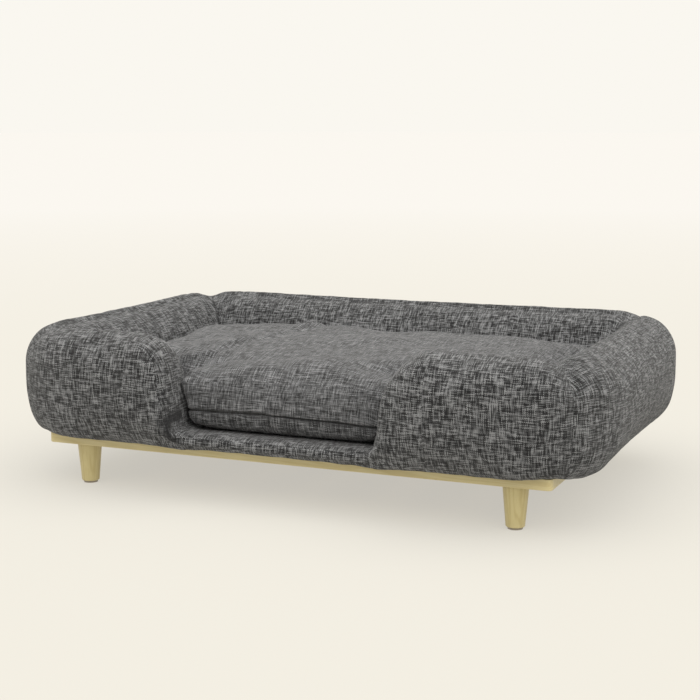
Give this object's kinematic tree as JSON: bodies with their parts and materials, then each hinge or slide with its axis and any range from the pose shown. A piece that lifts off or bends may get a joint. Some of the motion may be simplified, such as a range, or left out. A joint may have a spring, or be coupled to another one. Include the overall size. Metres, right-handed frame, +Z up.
{
  "type": "raised dog bed with wooden frame",
  "caption": "Raised dog bed: padded bolsters round three and a half sides, a low padded entrance, a loose cushion and a low wooden frame on tapered round legs.",
  "frame": {"origin": "on the floor, under the middle of the bed", "axes": "+X along the bed's length, to the right of a viewer at the entrance; the entrance faces -Y; +Z up"},
  "size_m": [0.96, 0.66, 0.24],
  "materials": {
    "pale_wood": "satin",
    "slat_wood": "matte",
    "steel": "satin",
    "glide_felt": "matte",
    "bolster_fabric": "matte",
    "cushion_fabric": "matte",
    "base_fabric": "matte",
    "fibre_stuffing": "matte",
    "foam": "matte",
    "hook_and_loop": "matte",
    "zip_tape": "matte",
    "zip_coil": "satin",
    "zip_metal": "satin"
  },
  "bodies": {
    "frame": {"front_rail": "pale_wood", "back_rail": "pale_wood", "left_end_rail": "pale_wood", "right_end_rail": "pale_wood", "slat_1": "slat_wood", "slat_2": "slat_wood", "slat_3": "slat_wood", "slat_4": "slat_wood", "slat_5": "slat_wood", "frame_dowels": "slat_wood", "slat_screws": "steel", "leg_tee_nuts": "steel", "leg_hanger_bolts": "steel", "leg_front_left": "pale_wood", "felt_glide_front_left": "glide_felt", "leg_front_right": "pale_wood", "felt_glide_front_right": "glide_felt", "leg_back_left": "pale_wood", "felt_glide_back_left": "glide_felt", "leg_back_right": "pale_wood", "felt_glide_back_right": "glide_felt", "grip_strips_on_slats": "hook_and_loop"},
    "bed": {"left_bolster_stuffing": "fibre_stuffing", "left_outer_panel": "bolster_fabric", "left_inner_panel": "bolster_fabric", "back_bolster_stuffing": "fibre_stuffing", "back_outer_panel": "bolster_fabric", "back_inner_panel": "bolster_fabric", "right_bolster_stuffing": "fibre_stuffing", "right_outer_panel": "bolster_fabric", "right_inner_panel": "bolster_fabric", "front_right_bolster_stuffing": "fibre_stuffing", "front_right_outer_panel": "bolster_fabric", "front_right_inner_panel": "bolster_fabric", "front_left_bolster_stuffing": "fibre_stuffing", "front_left_outer_panel": "bolster_fabric", "front_left_inner_panel": "bolster_fabric", "entrance_end_panel_left": "bolster_fabric", "entrance_end_panel_right": "bolster_fabric", "entrance_lip_cover": "bolster_fabric", "entrance_lip_stuffing": "fibre_stuffing", "base_underside_fabric": "base_fabric", "base_foam": "foam", "well_floor_fabric": "base_fabric", "grip_strips_on_bed": "hook_and_loop", "bolster_zip_tape": "zip_tape", "bolster_zip_coil": "zip_coil", "bolster_zip_stops": "zip_metal"},
    "cushion": {"cushion_filling": "fibre_stuffing", "cushion_top_cover": "cushion_fabric", "cushion_bottom_cover": "cushion_fabric", "cushion_zip_tape": "zip_tape", "cushion_zip_coil": "zip_coil", "cushion_zip_stops": "zip_metal"},
    "bolster_zip_slider": {"bolster_zip_slider": "zip_metal"},
    "bolster_zip_tab": {"bolster_zip_tab": "zip_metal"},
    "cushion_zip_slider": {"cushion_zip_slider": "zip_metal"}
  },
  "joints": [
    {"name": "bed_lift", "type": "slide", "parent": "frame", "child": "bed", "axis": [0, 0, 1], "range_m": [0, 0.15]},
    {"name": "cushion_lift", "type": "slide", "parent": "bed", "child": "cushion", "axis": [0, 0, 1], "range_m": [0, 0.25]},
    {"name": "bolster_zip_slide", "type": "slide", "parent": "bed", "child": "bolster_zip_slider", "axis": [1, 0, 0], "range_m": [0, 0.541]},
    {"name": "bolster_zip_tab_swing", "type": "hinge", "parent": "bolster_zip_slider", "child": "bolster_zip_tab", "pos_m": [-0.2705, 0.3254, 0.102], "axis": [0, 0, 1], "range_deg": [0, 150]},
    {"name": "cushion_zip_slide", "type": "slide", "parent": "cushion", "child": "cushion_zip_slider", "axis": [1, 0, 0], "range_m": [0, 0.441]}
  ]
}
